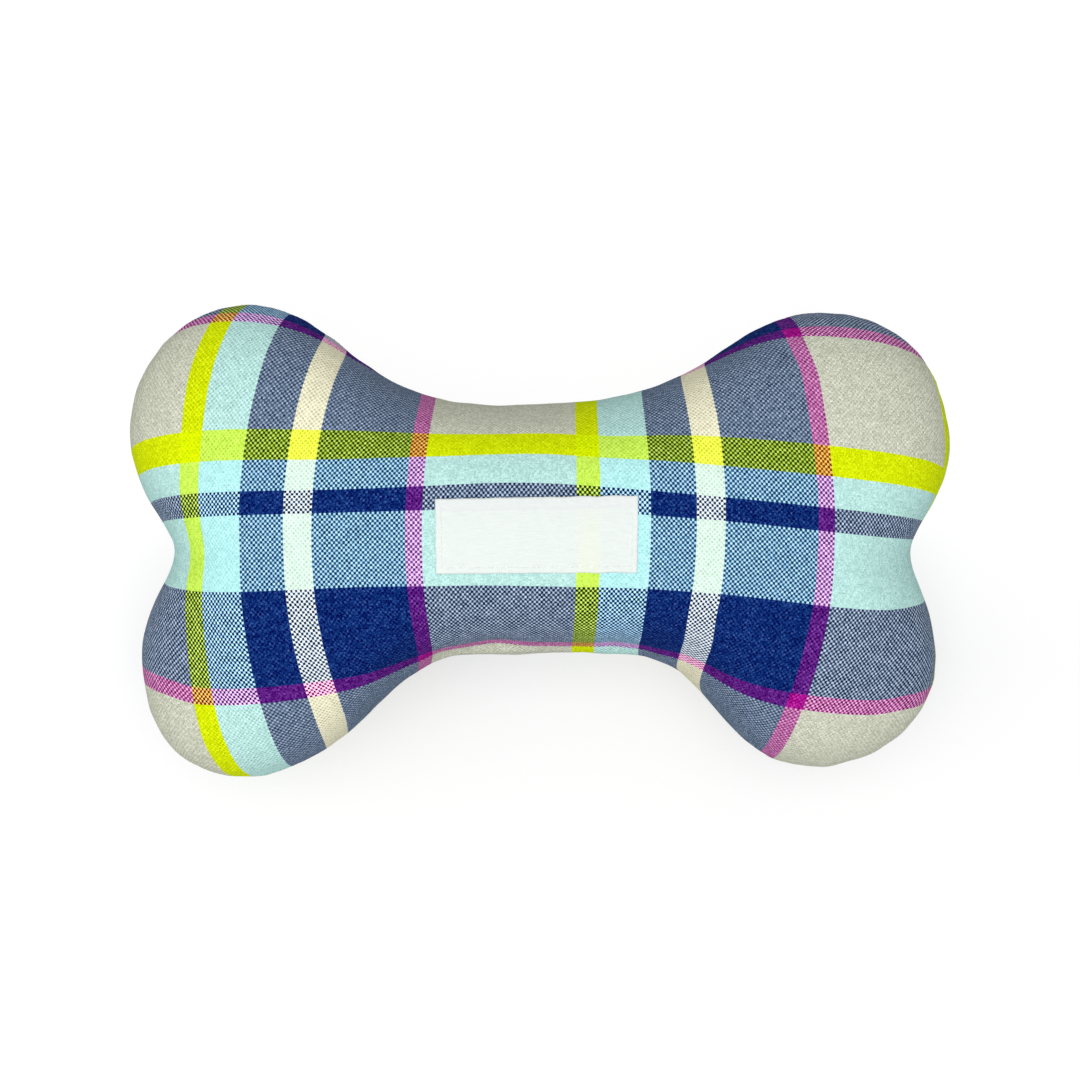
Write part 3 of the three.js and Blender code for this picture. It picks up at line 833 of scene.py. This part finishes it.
cloth = Finish("plaid_cotton")
place = cloth.node("ShaderNodeUVMap", {"uv_map": "pattern"})
warp = (place.axis(0) - WARP_START) / WARP_PITCH + (cloth.noise(place, WARP_WAVES) - 0.5) * YARN_WANDER
weft = (place.axis(1) - WEFT_START) / WEFT_PITCH + (cloth.noise(place, WEFT_WAVES) - 0.5) * YARN_WANDER
warp_dye, warp_cover = (stripe_dye(warp.floor(), WARP_STRIPES, output) for output in (0, 1))
weft_dye, weft_cover = (stripe_dye(weft.floor(), WEFT_STRIPES, output) for output in (0, 1))
over = (warp * math.pi).sine() * (weft * math.pi).sine()
mottle = cloth.noise(place, MOTTLE_WAVES, detail=3.0, rough=0.6)
fibres = cloth.noise(place, FIBRE_WAVES, rough=0.7)
pick = random_at(warp.floor(), weft.floor())
warp_tint, weft_tint = (cloth.curved(dye, 1 / SCREEN_GAMMA) for dye in (warp_dye, weft_dye))
warp_stands, weft_stands = (
    cloth.luma(tint) ** STAND_POWER * PALE_STAND - cloth.luma(tint) * DARK_STAND
    for tint in (warp_tint, weft_tint)
)
leaning = warp_stands - weft_stands + (fibres - 0.5) * FIBRE_LEAN + (mottle - 0.5) * MOTTLE_LEAN
checker = cloth.mix((over * WEAVE_EDGE + 0.5 + leaning).clamped(), weft_dye, warp_dye)
warp_part = 1 - cloth.luma(weft_tint) * (1 - warp_cover)
weft_part = 1 - cloth.luma(warp_tint) * (1 - weft_cover)
even = cloth.mix(weft_part / (warp_part + weft_part), warp_tint, weft_tint)
tint = cloth.scaled(cloth.vector("SUBTRACT", even, cloth.luma(even)), TINT)
shown = cloth.luma(cloth.curved(checker, 1 / SCREEN_GAMMA))
light = shown + (cloth.luma(even) - shown) * (1 - warp_cover * weft_cover) * SHEER
# Painted shade and highlight of the weave's relief, with the random tone of the picks and fibres.
weave_shade_and_yarn_tone = over * PAINTED_WEAVE_SHADE + (pick - 0.5) * PICK_SHADE + (fibres - 0.5) * FIBRE_SHADE
grain = weave_shade_and_yarn_tone * (DARK_GRAIN - light**STAND_POWER * PALE_GRAIN) + (mottle - 0.5) * MOTTLE_SHADE
shade = cloth.vector("MAXIMUM", cloth.vector("ADD", tint, light + grain), (0, 0, 0))
woven = cloth.curved(shade, SCREEN_GAMMA)
height = abs(over) * YARN_HEIGHT + fibres * FIBRE_HEIGHT
plaid = cloth.surface(woven, height, rough=0.95, strength=0.35, depth=0.0002, shine=0.05)
dress(cover_front.data, plaid)
dress(cover_back.data, plaid)


# The label
# A strip of thin white cotton tape, about 50 by 18.5 mm, folded under along its upper edge and sewn down flat
# with white thread 1.5 mm inside its edges. The stripes under it tint it a little.
LABEL_CORNERS = [(-25.4, -8.3), (23.8, -8.0), (23.9, 10.9), (-25.6, 10.0)]
LABEL_STEP = 0.4
LABEL_THICKNESS = 0.3 * MM
LABEL_LIFT = 0.15 * MM
HEM_WIDTH = 1.6
HEM_RISE = 0.22 * MM
STITCH_INSET = 1.5
STITCH_PITCH = 2.6
STITCH_PULL = 0.2 * MM
PULL_REACH = 0.6
STITCH_RADIUS = 0.11 * MM
LABEL_RIPPLE = 0.12 * MM
RIPPLE_WAVES = (4, 5)
LABEL_SEED, WAVER_SEEDS = 2.0, (5.0, 6.0)
EDGE_WAVER = (0.25, 0.2)
WAVER_WAVES = (3, 4)
HEM_EDGE = 0.5
LABEL_BAKE_MARGIN = 0.02
ABOVE_TOY = 0.2
FOLD_FROM = 15.2
FOLD_SHADE_SHARE = 0.4
STRIPE_MIDDLE, STRIPE_HALF, STRIPE_SOFT = 37.4, 3.5, 1.4
STRIPE_SHARE, STRIPE_FADE = 0.4, 60
TAPE_WARP, TAPE_WEFT = 0.25, 0.28
TAPE_RELIEF = 0.5
SLUB_SCALE = (0.25, 3.0, 1.0)


def surface_of(*covers):
    """The shown surface of some pieces, to set others on."""
    mesh = bmesh.new()
    for cover in covers:
        mesh.from_object(cover, bpy.context.evaluated_depsgraph_get())
    tree = BVHTree.FromBMesh(mesh)
    mesh.free()
    return tree


def on_label(across, up):
    """A place on the label, from its shares along and up, in millimetres seen from above."""
    a, b, c, d = (Vector(corner) for corner in LABEL_CORNERS)
    return a.lerp(b, across).lerp(d.lerp(c, across), up)


front_surface = surface_of(cover_front)
label_width = (Vector(LABEL_CORNERS[1]) - Vector(LABEL_CORNERS[0])).length
label_height = (Vector(LABEL_CORNERS[3]) - Vector(LABEL_CORNERS[0])).length
stitch_path = []
inset_x, inset_y = STITCH_INSET / label_width, STITCH_INSET / label_height
turns = [(inset_x, inset_y), (1 - inset_x, inset_y), (1 - inset_x, 1 - inset_y), (inset_x, 1 - inset_y)]
for start, end in zip(turns, turns[1:] + turns[:1]):
    first, last = on_label(*start), on_label(*end)
    count = round((last - first).length / STITCH_PITCH)
    stitch_path += [first.lerp(last, i / count) for i in range(count)]
holes = KDTree(len(stitch_path))
for i, hole in enumerate(stitch_path):
    holes.insert((hole.x, hole.y, 0), i)
holes.balance()


def label_height_at(spot):
    """How high the label's upper face stands at a place seen from above, in metres."""
    hit = front_surface.ray_cast(Vector((spot.x * MM, spot.y * MM, ABOVE_TOY)), Vector((0, 0, -1)))[0]
    away = holes.find(Vector((spot.x, spot.y, 0)))[2]
    waves = Vector((spot.x / RIPPLE_WAVES[0], spot.y / RIPPLE_WAVES[1], LABEL_SEED))
    pull = STITCH_PULL * bell(away, 0, PULL_REACH)
    return hit.z + LABEL_LIFT + LABEL_THICKNESS + LABEL_RIPPLE * noise.noise(waves) - pull


columns, rows = round(label_width / LABEL_STEP), round(label_height / LABEL_STEP)
label_spots, label_map = [], []
for j in range(rows + 1):
    for i in range(columns + 1):
        spot = on_label(i / columns, j / rows)
        waver_x = EDGE_WAVER[0] * noise.noise(Vector((0, spot.y / WAVER_WAVES[0], WAVER_SEEDS[0])))
        waver_y = EDGE_WAVER[1] * noise.noise(Vector((spot.x / WAVER_WAVES[1], 0, WAVER_SEEDS[1])))
        spot += Vector((waver_x, waver_y))
        from_top = (1 - j / rows) * label_height
        hem = HEM_RISE * (1 - rise(from_top, HEM_WIDTH, HEM_EDGE))
        label_spots.append((spot.x * MM, spot.y * MM, label_height_at(spot) + hem))
        label_map.append((i / columns * label_width, j / rows * label_height))
label_mesh = bpy.data.meshes.new("label_tape")
label_faces = []
for j in range(rows):
    for i in range(columns):
        corner = j * (columns + 1) + i
        label_faces.append((corner, corner + 1, corner + columns + 2, corner + columns + 1))
label_mesh.from_pydata(label_spots, [], label_faces)
smooth(label_mesh)
lay_map(label_mesh, "pattern", label_map)
lay_map(label_mesh, "OFBake", spread_out(np.array(label_map), LABEL_BAKE_MARGIN))
label = placed("label_tape", label_mesh)
thicken(label, LABEL_THICKNESS)
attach(label, "toy")
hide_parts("label")

tape = Finish("label_cotton")
place = tape.node("ShaderNodeUVMap", {"uv_map": "pattern"})
along, up = place.axis(0), place.axis(1)
weave = (along * (math.pi / TAPE_WARP)).sine() * (up * (math.pi / TAPE_WEFT)).sine()
slubs = tape.node("ShaderNodeMapping", {}, {"Vector": place, "Scale": SLUB_SCALE})
uneven = tape.noise(slubs, scale=1.0, detail=3.0, rough=0.6)
white = tape.mix(uneven, colour(219, 229, 226), colour(244, 249, 245))
# Painted shade: the folded band along the label's top edge is made a little greyer.
fold_shaded = tape.mix((up > FOLD_FROM) * FOLD_SHADE_SHARE, white, colour(228, 230, 232))
stripe = ((STRIPE_HALF - abs(along - STRIPE_MIDDLE)) / STRIPE_SOFT).clamped() * (up < FOLD_FROM)
tinted = tape.mix(stripe * (STRIPE_SHARE - up / STRIPE_FADE), fold_shaded, colour(240, 244, 212))
height = weave * TAPE_RELIEF + uneven
dress(label_mesh, tape.surface(tinted, height, rough=0.85, strength=0.3, depth=0.0001))


# The white sewing thread
# Spun white polyester. It holds the label with running stitches, closes the gap in the lower waist seam with
# short ladder stitches, where the toy was stuffed, and runs inside the cover along both turned-in allowances.
CLOSING_PITCH = 3.2
CLOSING_HALF = 29
CLOSING_RADIUS = 0.22 * MM
CLOSING_BITE = 1.1 * MM
CLOSING_SLANT = 0.5 * MM
CLOSING_POINTS = 9
CLOSING_POWER = 6
BAR_SEED = 1.7
CLOSING_DIVE, CLOSING_PROUD, CLOSING_SAG = 0.5 * MM, 0.12 * MM, 0.35 * MM
STITCH_SHARES = (0.08, 0.2, 0.35, 0.5, 0.65, 0.8, 0.92)
STITCH_ARCH, STITCH_SINK = 1.6, 0.9
NEARER_THAN_TOY = -0.12
ROW_CLOSE = 0.85
THREAD_SIDES = 7


def strands(name, paths, radius):
    """Short tubes along paths of points, as one mesh."""
    spots, quads = [], []
    for path in paths:
        path = [Vector(point) for point in path]
        first = len(spots)
        for i, point in enumerate(path):
            ahead = path[min(i + 1, len(path) - 1)] - path[max(i - 1, 0)]
            aside = ahead.orthogonal().normalized()
            above = ahead.normalized().cross(aside)
            for k in range(THREAD_SIDES):
                angle = 2 * math.pi * k / THREAD_SIDES
                spots.append(point + (aside * math.cos(angle) + above * math.sin(angle)) * radius)
        for low in range(first, len(spots) - THREAD_SIDES, THREAD_SIDES):
            high = low + THREAD_SIDES
            for k in range(THREAD_SIDES):
                beside = (k + 1) % THREAD_SIDES
                quads.append((low + k, low + beside, high + beside, high + k))
        quads.append(tuple(range(first + THREAD_SIDES - 1, first - 1, -1)))
        quads.append(tuple(range(len(spots) - THREAD_SIDES, len(spots))))
    mesh = bpy.data.meshes.new(name)
    mesh.from_pydata([tuple(spot) for spot in spots], [], quads)
    smooth(mesh)
    made = placed(name, mesh)
    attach(made, "toy")
    return made


stitch_lines = []
for first, last in zip(stitch_path, stitch_path[1:] + stitch_path[:1]):
    line = []
    for share in STITCH_SHARES:
        spot = first.lerp(last, share)
        arch = STITCH_RADIUS * (STITCH_ARCH * math.sin(math.pi * share) - STITCH_SINK)
        line.append((spot.x * MM, spot.y * MM, label_height_at(spot) + arch))
    stitch_lines.append(line)
label_stitches = strands("label_stitches", stitch_lines, STITCH_RADIUS)
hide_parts("label_thread")

both_surfaces = surface_of(cover_front, cover_back)
ladder = []
for i in range(round(2 * CLOSING_HALF / CLOSING_PITCH) + 1):
    x = (i * CLOSING_PITCH - CLOSING_HALF) * MM
    slant = CLOSING_SLANT * noise.noise(Vector((i * BAR_SEED, 0, 0)))
    bar = []
    for share in np.linspace(-1, 1, CLOSING_POINTS):
        start = Vector((x + slant * share, NEARER_THAN_TOY, seam_z + CLOSING_BITE * share))
        hit = both_surfaces.ray_cast(start, Vector((0, 1, 0)))[0]
        if hit is not None:
            bar.append(hit + Vector((0, CLOSING_DIVE * abs(share) ** CLOSING_POWER - CLOSING_PROUD, 0)))
    for point in bar[1:-1]:
        point.y = min(point.y, (bar[0].y + bar[-1].y) / 2 + CLOSING_SAG)
    ladder.append(bar)
closing_stitches = strands("closing_stitches", ladder, CLOSING_RADIUS)
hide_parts("closing_thread")

twist = Finish("white_thread")
place = twist.node("ShaderNodeTexCoord", {}, {}, "Object")
plies = twist.noise(place, scale=2500.0)
white = twist.mix(plies, colour(226, 230, 228), colour(250, 251, 249))
thread = twist.surface(white, plies, rough=0.7, strength=0.4, depth=0.0001)
dress(label_stitches.data, thread)
dress(closing_stitches.data, thread)
for node, name in (("seam_needle_thread", "seam_needle_row"), ("seam_bobbin_thread", "seam_bobbin_row")):
    row = placed(name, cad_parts[node].data.copy())
    spots = spots_of(row.data)
    spots[:, 2] = seam_z + (spots[:, 2] - seam_z) * ROW_CLOSE
    row.data.vertices.foreach_set("co", drawn_in(spots).astype(np.float32).ravel())
    dress(row.data, thread)
    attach(row, "toy")
    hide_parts(node)


# The stuffing
# Loose polyester fibre fill, packed firm in six handfuls: two in each end, and two in the shaft, one at the
# front and one at the back. Each lumpy wad fills its part of the cover and leaves room for the squeaker.
WAD_VOXEL = 3 * MM
WAD_SHRINK = 2.2 * MM
WAD_LUMPS = 1.0 * MM
WAD_PITCH = 7 * MM


def make_wad(name, node):
    """A handful of fill in the place of one of the frame's."""
    solid = placed(name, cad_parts[node].data.copy())
    whole = solid.modifiers.new("whole", "REMESH")
    whole.mode = "VOXEL"
    whole.voxel_size = WAD_VOXEL
    made = bpy.data.meshes.new_from_object(solid.evaluated_get(bpy.context.evaluated_depsgraph_get()))
    solid.modifiers.clear()
    out = np.array([normal.vector[:] for normal in made.vertex_normals])
    spots = spots_of(made)
    lumps = np.array([noise.noise(Vector(spot) / WAD_PITCH) for spot in spots.tolist()])
    spots = drawn_in(spots + out * (lumps * WAD_LUMPS - WAD_SHRINK)[:, None])
    made.vertices.foreach_set("co", spots.astype(np.float32).ravel())
    smooth(made)
    solid.data = made
    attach(solid, "toy")
    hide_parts(node)
    return solid


fill = Finish("fibre_fill")
place = fill.node("ShaderNodeTexCoord", {}, {}, "Object")
tufts = fill.noise(place, scale=350.0, detail=5.0, rough=0.75)
white = fill.mix(tufts, colour(214, 216, 214), colour(248, 249, 248))
fibre = fill.surface(white, tufts, rough=1.0, strength=0.8, depth=0.001)
for node in sorted(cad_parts):
    if "_fill" in node:
        dress(make_wad(node.replace("fill", "wad"), node).data, fibre)


# The squeaker
# A soft blown bulb of milky polyethylene, buried in the stuffing under the label. A moulded plug in two
# halves closes its mouth and clamps one end of a thin clear film, the reed that buzzes when air passes.
GRAIN_FINER = 12
GLOSS_SPREAD = 0.15
SHARP_DEGREES = 35


def plastic(name, low, high, rough, haze):
    """A moulded plastic: faint clouds in its colour and a slightly uneven gloss."""
    made = Finish(name)
    place = made.node("ShaderNodeTexCoord", {}, {}, "Object")
    clouds = made.noise(place, haze, detail=3.0)
    grain = made.noise(place, haze * GRAIN_FINER)
    gloss = rough + (grain - 0.5) * GLOSS_SPREAD
    return made.surface(made.mix(clouds, low, high), grain, rough=gloss, strength=0.15, depth=0.0002)


moulded = plastic("plug_plastic", colour(232, 228, 214), colour(244, 242, 232), rough=0.45, haze=300.0)
milky = plastic("bulb_plastic", colour(208, 217, 222), colour(226, 232, 236), rough=0.35, haze=120.0)
film = plastic("reed_film", colour(190, 204, 212), colour(214, 224, 230), rough=0.12, haze=400.0)
SQUEAKER = {
    "squeaker_bulb": milky,
    "squeaker_plug_channel_half": moulded,
    "squeaker_plug_cover_half": moulded,
    "squeaker_reed": film,
}
for node, material in SQUEAKER.items():
    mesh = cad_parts[node].data
    dress(mesh, material)
    smooth(mesh)
    mesh.set_sharp_from_angle(angle=math.radians(SHARP_DEGREES))

size = {"cad": frame_box, "shown": [list(corner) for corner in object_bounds()]}
